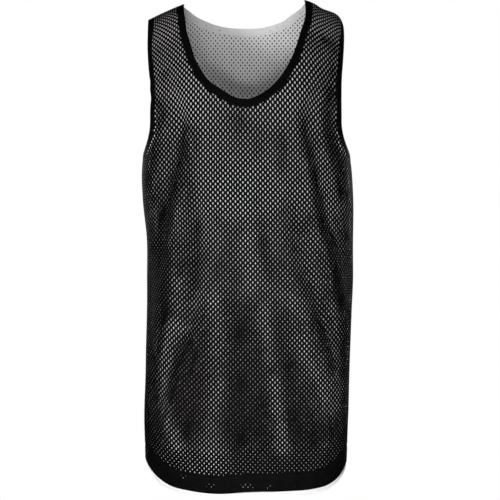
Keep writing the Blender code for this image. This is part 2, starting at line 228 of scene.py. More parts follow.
# Holes stand in staggered rows: the spacing along a row, and between rows that line up
PITCH_ACROSS = 0.00765
PITCH_UP_HEM = 0.008
PITCH_UP_CHEST = 0.00856
PITCH_CHEST_LEVEL = -0.300
LATTICE_BASE = -0.812
LATTICE_ABOVE = 0.03
LATTICE_REACH = 0.27
HOLE_WIDTH = 0.0024
HOLE_HEIGHT = 0.0033
HOLE_SIDES = {"outer": 12, "inner": 8, "turned": 8}
HOLE_SIZES = {"outer": (0.76, 1.02), "inner": (1.0, 1.0), "turned": (0.80, 0.80)}
HOLE_MARGIN = 0.0011
# Heights above the hem between which the outer holes shrink until they show no dark inside
HEM_CLOSED = (0.078, 0.054)
HEM_HALF_WIDTH = 0.200
# The outer holes shrink by up to this much as the share of white cloth in them falls below a limit
GATHERING = 0.22
GATHERED_BELOW = 0.6
SHRINK_OFFSET = 0.14
SMALLEST_HOLE = 0.5
# They grow towards the shoulders: levels in millimetres, and factors
HOLE_STRETCH = (
    (-400, 1.0), (-300, 1.05), (-235, 1.07), (-170, 1.22), (-100, 1.18), (-55, 1.38), (-20, 1.42),
)
# How far inner holes stand off for a share to show: an even part, and a part that comes late
STAND_OFF_EVEN = 0.79
STAND_OFF_LATE = 0.21

# How the rows of holes tilt, in degrees down towards the wearer's left: places across the cloth,
# then levels, both in millimetres, with the tilt at each of those places
TILT_REACH = 0.26
TILT_SAMPLES = 131
TILT_PLACES = (-185, -115, -60, 0, 60, 115, 185)
FRONT_TILT = (
    (-100, (0, 0, 0, 0, 0, 0, 0)),
    (-170, (0, -2, 0, 2.5, 4, 6, 8)),
    (-245, (-1, -4, 1, 3, 5, 8, 11)),
    (-323, (-4, -4, 2, 3, 3, 5, 11)),
    (-402, (-3, 4, 6, 3, 3, 1, 4)),
    (-480, (7, 6, 6, 3, 2, 1, 0)),
    (-560, (7, 8, 5, 3, 2, 1, -1)),
    (-640, (8.5, 7, 4.5, 3, 2, 1, 0)),
    (-760, (8, 7, 4.5, 3, 1.5, 0, -1)),
)
BACK_TILT = (
    (-100, (0, 0, 0, 0, 0, 0, 0)),
    (-245, (-4, -3, -1, 0, 1, 3, 5)),
    (-400, (2, 3, 1, 0, -1, -2, -1)),
    (-600, (5, 4, 2, 0.5, -1, -3, -5)),
    (-760, (6, 5, 2.5, 0, -2, -4, -6)),
)

# How much white cloth shows in the outer holes: 1 where the inner holes stand quite clear of
# them, 0 where they line up. A base by level, then bands as (change, width, line), with levels,
# widths and lines in millimetres, and each line as (level, across)
FRONT_REGISTER = (
    (-20, 1), (-120, 0.98), (-160, 0.84), (-200, 0.78), (-250, 0.72), (-300, 0.74), (-340, 0.68),
    (-362, 0.57), (-400, 0.54), (-450, 0.47), (-475, 0.34), (-495, 0.27), (-560, 0.255),
    (-660, 0.25), (-700, 0.24), (-735, 0.22), (-760, 0.22),
)
FRONT_BANDS = (
    # straps
    (-0.38, 8, ((-87, -160), (-68, -108))),
    (-0.4, 9, ((-136, -156), (-124, -112))),
    (-0.75, 15, ((-176, -152), (-196, -148))),
    (-0.95, 15, ((-82, 94), (-76, 116), (-80, 146))),
    (0.2, 16, ((-150, -118), (-195, -82))),
    (-0.45, 14, ((-100, 136), (-120, 140))),
    (-0.8, 13, ((-155, 136), (-185, 131), (-215, 134), (-245, 145), (-275, 155), (-310, 166))),
    # chest
    (-0.28, 24, ((-198, -26), (-212, -8))),
    (-0.09, 20, ((-243, -30), (-250, 0))),
    (-0.34, 11, ((-226, 50), (-242, 50))),
    (-0.14, 10, ((-255, 52), (-285, 52))),
    (-0.11, 22, ((-265, 72), (-345, 74))),
    (-0.34, 14, ((-225, -96), (-290, -93), (-335, -91))),
    (-0.2, 13, ((-365, -88), (-400, -88), (-450, -84))),
    # the fold from the right of the chest to the side
    (-0.12, 14, ((-225, -130), (-310, -146))),
    (-0.44, 11, ((-235, -107), (-262, -112), (-288, -116))),
    (-0.75, 13, ((-302, -120), (-330, -126), (-350, -137))),
    (-0.66, 17, ((-372, -146), (-400, -150), (-450, -148), (-500, -152))),
    (-0.55, 16, ((-190, -158), (-245, -170), (-285, -180))),
    (-0.3, 20, ((-318, -160), (-365, -172))),
    (-0.06, 30, ((-385, -118), (-470, -120))),
    # the fold from the left of the chest to the side
    (-0.55, 9, ((-208, 86), (-236, 92))),
    (-0.66, 10, ((-248, 98), (-262, 103), (-280, 105))),
    (-0.62, 9, ((-291, 106), (-312, 110))),
    (-0.8, 11, ((-327, 114), (-350, 120), (-372, 127), (-395, 138), (-430, 148), (-480, 158))),
    (-0.08, 14, ((-275, 124), (-330, 124))),
    (-0.1, 20, ((-325, 150), (-380, 160))),
    # the waist
    (-0.24, 11, ((-360, 96), (-370, 82))),
    (-0.04, 24, ((-355, 70), (-400, 80), (-455, 78))),
    (-0.2, 9, ((-360, 21), (-392, 23), (-415, 28), (-440, 36))),
    (0.18, 14, ((-385, 0), (-430, 4), (-466, -3))),
    (0.08, 13, ((-455, 0), (-468, 4))),
    (-0.12, 11, ((-365, -32), (-410, -29), (-440, -26))),
    (0.12, 14, ((-375, -54), (-395, -56))),
    (0.05, 14, ((-442, -52), (-468, -54))),
    (0.06, 17, ((-472, -62), (-490, -60))),
    # the long light bands below it
    (0.12, 10, ((-445, -74), (-530, -84))),
    (0.32, 15, ((-480, -56), (-505, -50), (-537, -47), (-580, -50), (-625, -51),
                (-660, -56), (-735, -56))),
    (0.14, 14, ((-690, -74), (-755, -74))),
    (0.12, 10, ((-700, -38), (-755, -36))),
    (0.2, 14, ((-480, -84), (-505, -94), (-528, -100))),
    (0.32, 13, ((-455, -118), (-500, -119), (-515, -121))),
    (0.42, 14, ((-530, -126), (-560, -135), (-590, -143), (-625, -144), (-650, -138),
                (-680, -129), (-705, -118))),
    (0.18, 16, ((-712, -106), (-740, -95))),
    (0.2, 12, ((-462, 30), (-480, 26))),
    (0.36, 12, ((-500, 23), (-530, 28), (-572, 33))),
    (0.42, 11, ((-606, 39), (-650, 46), (-700, 52), (-714, 54))),
    (0.32, 20, ((-485, 62), (-492, 86))),
    (0.34, 20, ((-540, 86), (-560, 90), (-585, 102), (-610, 116), (-648, 126))),
    (-0.05, 9, ((-490, 109), (-510, 114), (-545, 124))),
    (0.3, 12, ((-490, 140), (-530, 147), (-575, 150), (-650, 146))),
    (0.12, 10, ((-690, 128), (-735, 114))),
    # towards the side seams
    (-0.5, 20, ((-250, -204), (-360, -206), (-520, -204), (-760, -204))),
    (-0.6, 24, ((-330, 204), (-480, 204), (-760, 200))),
)
BACK_REGISTER = ((-20, 0.98), (-400, 0.98), (-760, 0.97))
BACK_BANDS = (
    (-0.45, 14, ((-150, -112), (-220, -104), (-300, -112), (-400, -136))),
    (-0.45, 14, ((-140, 106), (-210, 98), (-290, 108), (-380, 132))),
    (-0.3, 20, ((-230, -10), (-300, 6))),
    (0.14, 13, ((-430, -36), (-560, -42), (-660, -40), (-760, -46))),
    (0.14, 11, ((-440, 52), (-560, 66), (-660, 90), (-740, 112))),
    (0.14, 14, ((-460, -92), (-560, -126), (-650, -142), (-740, -128))),
    (-0.35, 24, ((-250, -206), (-380, -206))),
    (-0.35, 24, ((-250, 204), (-380, 204))),
    (-0.45, 10, ((-160, 164), (-180, 130), (-200, 108))),
    (-0.45, 10, ((-170, -166), (-220, -152), (-268, -154))),
)

# The turned edges: how far their holes stand off the outer ones, in half pitches, with a wave over
# the cloth, and the patches of the hem where they nearly line up and a few dots show, as
# (across, level, width, change)
TURNED_REGISTER = 0.74
TURNED_WAVE = 0.16
WAVE_START = 1.3
WAVE_TURNS = (61, 83, 29)
HEM_PATCHES = (
    (-0.104, -0.7600, 0.0080, 0.66),
    (-0.058, -0.7695, 0.0135, 0.74),
    (-0.003, -0.7700, 0.0140, 0.72),
    (0.032, -0.7720, 0.0110, 0.70),
    (0.071, -0.7740, 0.0060, 0.64),
    (0.117, -0.7590, 0.0070, 0.66),
)
HEM_PATCH_HEIGHT = 0.0075
HEM_PATCH_ON_BACK = 0.6

# Stitches, and their shape as (share of the length, share of the radius, how far it is sunk)
STITCH_LENGTH = 0.0026
STITCH_PITCH = 0.0032
STITCH_START = 0.001
STITCH_CLEAR = 0.0005
STITCH_RADIUS = 0.00026
STITCH_LIFT = 0.0001
STITCH_SIDES = 5
STITCH_SHAPE = ((0.0, 0.25, 1.0), (0.18, 1.0, 0.0), (0.82, 1.0, 0.0), (1.0, 0.25, 1.0))
# The cloth is drawn in along them
GROOVE_WIDTH = 0.0018
GROOVE_REACH = 0.04
GROOVE_DEPTH = {"neck": 0.0003, "armhole_left": 0.0003, "armhole_right": 0.0003, "hem": 0.0008}

# The grid of the form, and how near its last row or column a place may be read
GRID_BOTTOM = -0.800
GRID_ROWS = 331
GRID_COLUMNS = 281
GRID_LAST = 0.001
# The edges of a panel: steps and samples, where each starts, and how far it is run on to cut along
CURVE_STEP = 0.0015
SEAM_SAMPLES = 60
SIDE_CUT_BOTTOM = -0.70
ARMHOLE_SAMPLES = 160
ARMHOLE_START = 0.5
NECK_SAMPLES = 400
NECK_TOP = 0.02
EDGE_RUN_ON = 0.05
# Near the side seams a row turns back on itself, so x is read off only within these
SEAM_SHARE = 0.97
SEAM_POINTS = 20
# The flattest look along the cloth that the slip of the lower layer follows
GRAZING = -0.35
WELD = 2e-6
TINY = 1e-9
# The flat map: its size and corner on the cloth, and how far beside it the turned edges stand
UV_SPAN = 0.98
UV_ORIGIN = (-0.24, -0.83)
UV_TURNED_SHIFT = 0.50

# The knit: wales and courses of loops in the bump, and a cloudy unevenness of colour
KNIT_WALES = {"Scale": 340.0, "Distortion": 0.6}
KNIT_COURSES = {"Scale": 300.0, "Distortion": 0.8}
KNIT_CLOUD = {"Scale": 90.0, "Detail": 4.0}
KNIT_RELIEF = 0.0002
KNIT_STOPS = (0.35, 0.65)
# Cloths and threads: (colour, roughness, specular, bump, fleck)
LOOKS = {
    "black_mesh": ((0.0024, 0.0024, 0.0025), 0.62, 0.01, 0.35, 0.18),
    "black_thread": ((0.0050, 0.0050, 0.0052), 0.45, 0.06, 0.10, 0.05),
    "white_mesh": ((0.66, 0.66, 0.665), 0.85, 0.10, 0.25, 0.03),
    "white_thread": ((0.70, 0.70, 0.70), 0.60, 0.20, 0.10, 0.02),
}

CAMERA_PLACE = (0.0032, -1.925, -0.402)
CAMERA_LENS = 84.44
CAMERA_SENSOR = 36.0
CAMERA_REACH = 50.0
FLOOR_LEVEL = -1.95
FLOOR_RADIUS = 7.0
FLOOR_SIDES = 96
FLOOR_GLOW = 1.0

# Lamps: (name, place, size, power), and the height that they are aimed at where it isn't
# BODY_LEVEL. Those with a beam, in degrees, are spots
BODY_LEVEL = -0.38
LAMPS = (
    ("front", (0.0, -2.47, -1.18), 0.9, 27.0),
    ("front_left", (1.07, -2.20, -1.27), 0.9, 8.0),
    ("front_right", (-1.27, -2.20, -0.92), 0.9, 20.0),
    ("body", (-0.08, -2.42, -1.02), 0.35, 430.0, -0.56),
    ("neck", (-0.87, -2.17, -1.24), 0.35, 140.0, -0.10),
    ("back_left", (1.7, 2.0, 0.0), 1.0, 24.0),
    ("back_right", (-1.7, 2.0, 0.0), 1.0, 24.0),
    ("top", (0.0, -1.5, 3.8), 2.4, 60.0),
)
BEAMS = {"body": 14.5, "neck": 13.0}
BEAM_BLEND = 0.7


# ---------------- working out the form


def unit(vectors):
    """Vectors brought to length one."""
    return vectors / np.linalg.norm(vectors, axis=-1, keepdims=True)


def lengths_along(points):
    """How far along a line of points each one is."""
    return np.concatenate([[0.0], np.cumsum(np.linalg.norm(np.diff(points, axis=0), axis=1))])


def eased(share):
    """A share from 0 to 1 with a soft start and a soft end."""
    return share * share * (3 - 2 * share)


def smooth(at, places, values):
    """Cubic through a table's values, with each tangent from its two neighbours."""
    order = np.argsort(places)
    places, values = places[order], values[order]
    at = np.clip(at, places[0], places[-1])
    tangents = np.gradient(values, places)
    k = np.clip(np.searchsorted(places, at) - 1, 0, len(places) - 2)
    span = places[k + 1] - places[k]
    u = (at - places[k]) / span
    start = (1 + 2 * u) * (1 - u) ** 2 * values[k] + u * (1 - u) ** 2 * span * tangents[k]
    end = u * u * (3 - 2 * u) * values[k + 1] - u * u * (1 - u) * span * tangents[k + 1]
    return start + end


def from_table(table, at, name):
    """A table's named column, read at places in its first column."""
    return smooth(np.asarray(at, float), next(iter(table.values())), table[name])


def bend_arc():
    """Angles over the shoulder bend, and the length of cloth from its start to each."""
    angles = np.linspace(0.0, np.pi / 2, SAMPLES)
    back = BEND_REACH * (1 - np.cos(angles))
    up = BEND_RISE * np.sin(angles)
    steps = np.hypot(np.diff(back), np.diff(up))
    return angles, np.concatenate([[0.0], np.cumsum(steps)])


BEND_ANGLES, BEND_LENGTHS = bend_arc()
RIDGE_LEVEL = BEND_LEVEL + BEND_LENGTHS[-1]


def bend_angle(level):
    """How far round the shoulder the cloth has turned at a level: 0 up to the bend's start."""
    return np.interp(level - BEND_LEVEL, BEND_LENGTHS, BEND_ANGLES)


def fold_depth(side, level, x):
    """How far the long folds push the cloth out at a level, over an array of x."""
    total = np.zeros_like(x)
    for fold in (FRONT_FOLDS if side == "front" else BACK_FOLDS).values():
        table = table_of("level x depth", metres(fold))
        if not table["level"].min() < level < table["level"].max():
            continue
        line = from_table(table, level, "x")
        depth = from_table(table, level, "depth")
        across = (x - line) / FOLD_WIDTH * -np.sign(line)
        total += depth * across * np.exp((1 - across**2) / 2)
    return total


@lru_cache(maxsize=None)
def row_of(side, level):
    """One row of cloth from the right side seam to the left: points, and lengths from the middle."""
    turn = np.linspace(-np.pi / 2, np.pi / 2, SAMPLES)
    read = {name: float(from_table(SECTIONS, level, name)) for name in SECTIONS}
    corner = np.where(turn < 0, read["right_corner"], read["left_corner"])
    half = np.where(turn < 0, read["right"], read["left"])
    x = half * np.sign(turn) * np.abs(np.sin(turn)) ** (2 / corner)
    out = read[side] * np.abs(np.cos(turn)) ** (2 / corner)
    along = unit(np.gradient(np.stack([x, out], axis=1), axis=0))
    push = fold_depth(side, level, x)
    x, out = x - along[:, 1] * push, out + along[:, 0] * push

    facing = -1.0 if side == "front" else 1.0
    angle = bend_angle(level)
    rise = from_table(RIDGE, x, "z") - BEND_LEVEL
    y = (CENTRE_Y + facing * out) * np.cos(angle)
    z = min(level, BEND_LEVEL) + rise * np.sin(angle)
    points = np.stack([x, y, z], axis=1)
    lengths = lengths_along(points)
    return points, lengths - np.interp(0.0, x, lengths)


def shares_of(lengths):
    """Lengths from the middle as shares of the way to the side seams, -1 to 1."""
    return np.where(lengths < 0, -lengths / lengths[0], lengths / lengths[-1])


def armhole_length(side, level, wearer_side):
    """The length from the middle, along a row, at which the armhole edge cuts it."""
    points, lengths = row_of(side, level)
    shares = shares_of(lengths)
    sign = -1.0 if wearer_side == "right" else 1.0
    reach = float(from_table(ARMHOLE, level, wearer_side))
    inner = np.abs(shares) < SEAM_SHARE
    edge = abs(float(np.interp(sign * reach, points[inner, 0], shares[inner])))
    down = (ARMHOLE_TURN_LEVEL - level) / (ARMHOLE_TURN_LEVEL - UNDERARM_LEVEL)
    down = min(max(down, 0.0), 1.0)
    share = edge + (1 - edge) * (1 - np.sqrt(1 - down * down))
    return sign * share * abs(lengths[0] if sign < 0 else lengths[-1])


def distance_to_line(across, level, line):
    """Signed distance of places on the cloth to a line of (across, level): positive on its left."""
    line = np.asarray(line, float)
    best = np.full(across.shape, np.inf)
    signed = np.zeros(across.shape)
    for (x0, y0), (x1, y1) in zip(line[:-1], line[1:]):
        dx, dy = x1 - x0, y1 - y0
        size = dx * dx + dy * dy
        t = np.clip(((across - x0) * dx + (level - y0) * dy) / size, 0.0, 1.0)
        gap = np.hypot(across - x0 - t * dx, level - y0 - t * dy)
        turn = dx * (level - y0) - dy * (across - x0)
        nearer = gap < best - TINY
        signed = np.where(nearer, np.sign(turn) * gap, signed)
        best = np.where(nearer, gap, best)
    return signed


def with_ridges(base, ridges, across, level):
    """A value over the cloth with soft ridges of (height, width, line) added to it."""
    for height, width, line in ridges:
        gap = distance_to_line(across, level, metres(line)[:, ::-1])
        base = base + height * np.exp(-((gap / metres(width)) ** 2))
    return base


def crease_depth(side, across, level):
    """How deep the fine creases are at places on the cloth."""
    creases = FRONT_CREASES if side == "front" else BACK_CREASES
    ridges = [(metres(depth), width, line) for depth, width, line in creases]
    return with_ridges(np.zeros_like(across), ridges, across, level)


def surface_normals(side, points):
    """Which way is out, over a grid of points."""
    across = np.gradient(points, axis=1)
    up = np.gradient(points, axis=0)
    return unit(np.cross(across, up) * (1 if side == "front" else -1))


class Form:
    """The outermost face of the front or the back, as a fine grid over shares and levels."""

    def __init__(self, side):
        self.side = side
        self.levels = np.linspace(GRID_BOTTOM, RIDGE_LEVEL, GRID_ROWS)
        self.shares = np.linspace(-1.0, 1.0, GRID_COLUMNS)
        points, right, left = [], [], []
        for level in self.levels:
            row, lengths = row_of(side, float(level))
            at = shares_of(lengths)
            points.append(np.stack([np.interp(self.shares, at, row[:, k]) for k in range(3)], axis=1))
            right.append(-lengths[0])
            left.append(lengths[-1])
        self.right, self.left = np.array(right), np.array(left)
        points = self.met_at_seams(np.array(points))
        shares, levels = np.meshgrid(self.shares, self.levels)
        depth = crease_depth(side, shares * self.half(levels, shares), levels)
        self.points = points - surface_normals(side, points) * depth[:, :, None]
        self.normals = surface_normals(side, self.points)

    def met_at_seams(self, points):
        """The grid, its ends drawn to the line where the front and the back are sewn together."""
        other = "back" if self.side == "front" else "front"
        rows = [row_of(other, float(level))[0] for level in self.levels]
        for k, from_end, half in ((0, 1 + self.shares, self.right), (-1, 1 - self.shares, self.left)):
            near = eased(np.clip(1 - from_end[None, :] * half[:, None] / SEAM_BLEND, 0.0, 1.0))
            gap = np.array([row[k] for row in rows]) - points[:, k]
            points = points + 0.5 * near[:, :, None] * gap[:, None, :]
        return points

    def half(self, level, across):
        """The length from the middle to the side seam at a level."""
        right = np.interp(level, self.levels, self.right)
        left = np.interp(level, self.levels, self.left)
        return np.where(across < 0, right, left)

    def grid_place(self, across, level):
        """The row and the column of the grid at places on the cloth, with fractions."""
        share = np.clip(across / self.half(level, across), -1.0, 1.0)
        row = (level - self.levels[0]) / (self.levels[1] - self.levels[0])
        return row, (share + 1) / (self.shares[1] - self.shares[0])

    def at(self, across, level, depth):
        """Points at a depth below the outermost face."""
        row, col = self.grid_place(across, level)
        row = np.clip(row, 0, GRID_ROWS - 1 - GRID_LAST)
        col = np.clip(col, 0, GRID_COLUMNS - 1 - GRID_LAST)
        i, j = row.astype(int), col.astype(int)
        s, t = (row - i)[:, None], (col - j)[:, None]

        def mix(grid):
            low = grid[i, j] * (1 - t) + grid[i, j + 1] * t
            high = grid[i + 1, j] * (1 - t) + grid[i + 1, j + 1] * t
            return low * (1 - s) + high * s

        return mix(self.points) - unit(mix(self.normals)) * np.asarray(depth)[:, None]

    def slip(self, across, level):
        """How far the layer below has to slip to sit behind a place, seen from the photo's place."""
        row, col = self.grid_place(across, level)
        i = np.clip(np.rint(row), 1, GRID_ROWS - 2).astype(int)
        j = np.clip(np.rint(col), 1, GRID_COLUMNS - 2).astype(int)
        normal = self.normals[i, j]
        eye = np.array(CAMERA_PLACE) * (1 if self.side == "front" else (1, -1, 1))
        sight = unit(self.points[i, j] - eye)
        slope = np.minimum((sight * normal).sum(axis=-1), GRAZING)[..., None]
        moved = (normal + sight / -slope) * (INNER_DEPTH - OUTER_DEPTH)
        along = unit(self.points[i, j + 1] - self.points[i, j - 1])
        up = unit(self.points[i + 1, j] - self.points[i - 1, j])
        return (moved * along).sum(axis=-1), (moved * up).sum(axis=-1)


# ---------------- the cut of a panel


def even_steps(line, step):
    """A line of (across, level) at even steps of its length."""
    line = np.asarray(line, float)
    lengths = lengths_along(line)
    count = max(int(round(lengths[-1] / step)), 2)
    at = np.linspace(0.0, lengths[-1], count + 1)
    return np.stack([np.interp(at, lengths, line[:, k]) for k in range(2)], axis=1)


def left_of(directions):
    """Directions of length one, turned a quarter to the left."""
    along = unit(directions)
    return np.stack([-along[:, 1], along[:, 0]], axis=1)


def inward(line):
    """Which way a panel lies from each point of its edge."""
    return left_of(np.gradient(line, axis=0))


def hem_line(form, layer):
    """The hem edge from the right side seam to the left, as (across, level)."""
    shares = np.linspace(-1.0, 1.0, SAMPLES)
    level = from_table(HEM, shares, layer)
    return np.stack([shares * form.half(level, shares), level], axis=1)


def armhole_line(form, wearer_side):
    """An armhole edge from the underarm up to the shoulder."""
    angles = np.radians(np.linspace(ARMHOLE_START, 90.0, SEAM_SAMPLES))
    turn = UNDERARM_LEVEL + (ARMHOLE_TURN_LEVEL - UNDERARM_LEVEL) * (1 - np.cos(angles))
    straight = np.linspace(ARMHOLE_TURN_LEVEL, RIDGE_LEVEL - SEAM_GAP / 2, ARMHOLE_SAMPLES)[1:]
    levels = np.concatenate([turn, straight])
    return np.array([(armhole_length(form.side, float(l), wearer_side), l) for l in levels])


def neck_line(form):
    """The neck edge from the right shoulder, down round the front or back, up to the left."""
    table = FRONT_NECK if form.side == "front" else BACK_NECK
    lowest = table["z"][0]
    middle = slice(SEAM_POINTS, -SEAM_POINTS)
    top = RIDGE_LEVEL - SEAM_GAP / 2
    lines = {}
    for wearer_side, sign in (("right", -1.0), ("left", 1.0)):
        z = lowest + (NECK_TOP - lowest) * np.linspace(0.0, 1.0, NECK_SAMPLES) ** 2
        out = sign * from_table(table, z, wearer_side)
        rise = from_table(RIDGE, out, "z") - BEND_LEVEL
        angle = np.arcsin(np.clip((z - BEND_LEVEL) / rise, 0.0, 1.0))
        levels = BEND_LEVEL + np.interp(angle, BEND_ANGLES, BEND_LENGTHS)
        line = []
        for x, level in zip(out, levels):
            level = min(level, top)
            row, lengths = row_of(form.side, round(float(level), 5))
            line.append((float(np.interp(x, row[middle, 0], lengths[middle])), level))
            if level >= top:
                break
        lines[wearer_side] = line
    return np.array(lines["right"][::-1] + lines["left"][1:])


class Cut:
    """The edges of a panel on the cloth. Each edge has the panel on its left."""

    def __init__(self, form, layer):
        gap = SEAM_GAP / 2
        top = RIDGE_LEVEL - gap
        hem = hem_line(form, layer)
        right, left = armhole_line(form, "right"), armhole_line(form, "left")
        neck = neck_line(form)
        levels = np.linspace(SIDE_CUT_BOTTOM, UNDERARM_LEVEL, SEAM_SAMPLES)
        side_right = np.array([hem[0]] + [(-form.half(l, -1.0) + gap, l) for l in levels])
        side_left = np.array([hem[-1]] + [(form.half(l, 1.0) - gap, l) for l in levels])
        right[0], left[0] = side_right[-1], side_left[-1]
        self.edges = {
            "hem": (hem, HEM_TURN),
            "side_left": (side_left, SEAM_TURN),
            "armhole_left": (left, ARMHOLE_TURN),
            "shoulder_left": (np.array([(left[-1, 0], top), (neck[-1, 0], top)]), SHOULDER_TURN),
            "neck": (neck[::-1], NECK_TURN),
            "shoulder_right": (np.array([(neck[0, 0], top), (right[-1, 0], top)]), SHOULDER_TURN),
            "armhole_right": (right[::-1], ARMHOLE_TURN),
            "side_right": (side_right[::-1], SEAM_TURN),
        }
        self.lines = {name: self.lengthened(name) for name in self.edges}

    def lengthened(self, name):
        """An edge run on past both its ends, so that the panel can be cut along it."""
        line, _ = self.edges[name]
        ways = unit(line[0] - line[1]), unit(line[-1] - line[-2])
        ways = {"armhole_left": ((1, 0), (0, 1)), "armhole_right": ((0, 1), (-1, 0))}.get(name, ways)
        start, end = np.array(ways) * EDGE_RUN_ON
        return np.vstack([line[0] + start, line, line[-1] + end])

    def stitch_line(self, name):
        """How far inside an edge its line of stitches runs."""
        return HEM_STITCH_LINE if name == "hem" else self.edges[name][1] - STITCH_INSET

    def groove(self, across, level):
        """How deep the stitches draw the cloth in."""
        total = np.zeros(across.shape)
        for name, depth in GROOVE_DEPTH.items():
            line = self.lines[name]
            low, high = line.min(axis=0) - GROOVE_REACH, line.max(axis=0) + GROOVE_REACH
            near = (across > low[0]) & (across < high[0]) & (level > low[1]) & (level < high[1])
            gap = distance_to_line(across[near], level[near], line) - self.stitch_line(name)
            total[near] += depth * np.exp(-((gap / GROOVE_WIDTH) ** 2))
        return total

    def distances(self, across, level):
        """How far inside each edge places on the cloth are, one row for each edge."""
        return np.array([distance_to_line(across, level, line) for line in self.lines.values()])

    def flat_size(self):
        """The panel's flat area, that of the strips turned in along its edges, and its extents."""
        outline = np.concatenate([line for line, _ in self.edges.values()])
        x, y = outline.T
        flat = abs(np.dot(x, np.roll(y, -1)) - np.dot(y, np.roll(x, -1))) / 2
        turned = sum(lengths_along(line)[-1] * width for line, width in self.edges.values())
        return flat, turned, outline.max(axis=0) - outline.min(axis=0)


# ---------------- the lattice of holes


def tilt_drop(side, across, level):
    """How far a row of holes has dropped at a place, from its height at the middle."""
    table = (FRONT_TILT if side == "front" else BACK_TILT)[::-1]
    places = np.linspace(-TILT_REACH, TILT_REACH, TILT_SAMPLES)
    levels = metres([row[0] for row in table])
    by_row = []
    for _, angles in table:
        slope = np.tan(np.radians(np.interp(places, metres(TILT_PLACES), angles)))
        drop = np.concatenate([[0.0], np.cumsum((slope[1:] + slope[:-1]) / 2 * np.diff(places))])
        by_row.append(np.interp(across.ravel(), places, drop - np.interp(0.0, places, drop)))
    by_row = np.array(by_row)
    flat = np.clip(level.ravel(), levels[0], levels[-1])
    k = np.clip(np.searchsorted(levels, flat) - 1, 0, len(levels) - 2)
    s = eased((flat - levels[k]) / (levels[k + 1] - levels[k]))
    index = np.arange(flat.size)
    return (by_row[k, index] * (1 - s) + by_row[k + 1, index] * s).reshape(across.shape)


def showing(side, across, level):
    """The share of each outer hole in which the inner cloth shows, from 0 to 1."""
    front = side == "front"
    levels, shares = np.array((FRONT_REGISTER if front else BACK_REGISTER)[::-1]).T
    base = np.interp(level, metres(levels), shares)
    bands = FRONT_BANDS if front else BACK_BANDS
    return np.clip(with_ridges(base, bands, across, level), 0.0, 1.0)


def closed_to(share, across, level):
    """The share with the part by the hem added, where the holes of both layers never line up."""
    along = np.clip(across / HEM_HALF_WIDTH, -1.0, 1.0)
    height = level - from_table(HEM, along, "outer")
    down = (HEM_CLOSED[0] - height) / (HEM_CLOSED[0] - HEM_CLOSED[1])
    return np.maximum(share, eased(np.clip(down, 0.0, 1.0)))


def stand_off(share):
    """How far the inner holes stand off, in half pitches, for a share of each outer one to fill."""
    return HOLE_WIDTH / (PITCH_ACROSS / 2) * (STAND_OFF_EVEN * share + STAND_OFF_LATE * share**5)


def hole_size(share, across, level):
    """How large the outer holes are: drawn small where little of the inner cloth shows."""
    gathered = 1 - GATHERING * np.clip(1 - share / GATHERED_BELOW, 0.0, 1.0)
    closed = closed_to(share, across, level)
    levels, factors = np.array(HOLE_STRETCH).T
    stretch = np.interp(level, metres(levels), factors)
    shrunk = np.sqrt((share + SHRINK_OFFSET) / (closed + SHRINK_OFFSET))
    return stretch * gathered * np.clip(shrunk, SMALLEST_HOLE, 1.0)


def turned_stand_off(side, across, level):
    """How far the turned edges' holes stand off the outer ones, in half pitches."""
    a, b, c = WAVE_TURNS
    wave = TURNED_WAVE * np.sin(across * a + WAVE_START) * np.sin(level * b + across * c)
    total = TURNED_REGISTER + wave
    for place, height, width, change in HEM_PATCHES:
        gap = ((across - place) / width) ** 2 + ((level - height) / HEM_PATCH_HEIGHT) ** 2
        total = total - (change if side == "front" else HEM_PATCH_ON_BACK * change) * np.exp(-gap)
    return total


def lattice(form, sheet):
    """The nodes of the lattice: holes stand at those whose two numbers add up to an even one."""
    side = form.side
    columns = int(LATTICE_REACH / (PITCH_ACROSS / 2))
    growth = (PITCH_UP_CHEST - PITCH_UP_HEM) / (PITCH_CHEST_LEVEL - LATTICE_BASE)
    rows, level = [LATTICE_BASE], LATTICE_BASE
    while level < RIDGE_LEVEL + LATTICE_ABOVE:
        level += (PITCH_UP_HEM + growth * (min(level, PITCH_CHEST_LEVEL) - LATTICE_BASE)) / 2
        rows.append(level)
    a, b = np.meshgrid(np.arange(-columns, columns + 1), np.arange(len(rows)), indexing="ij")
    across = a * PITCH_ACROSS / 2
    level = np.array(rows)[b]
    level = level - tilt_drop(side, across, level)
    if sheet != "outer":
        if sheet == "inner":
            register = stand_off(closed_to(showing(side, across, level), across, level))
        else:
            register = turned_stand_off(side, across, level)
        slip_across, slip_level = form.slip(across, level)
        across = across + register * PITCH_ACROSS / 2 + slip_across
        level = level + slip_level
    return a, b, across, level


def corners_of(i, j):
    """The four lattice nodes round a hole: east, north, west and south."""
    return [(i + 1, j), (i, j + 1), (i - 1, j), (i, j - 1)]


def clipped(polygon, k):
    """A polygon cut where its k-th distance is negative."""
    kept = []
    for p, q in zip(polygon, polygon[1:] + polygon[:1]):
        if p[k] >= 0:
            kept.append(p)
        if (p[k] >= 0) != (q[k] >= 0):
            kept.append(p + (q - p) * (p[k] / (p[k] - q[k])))
    return kept


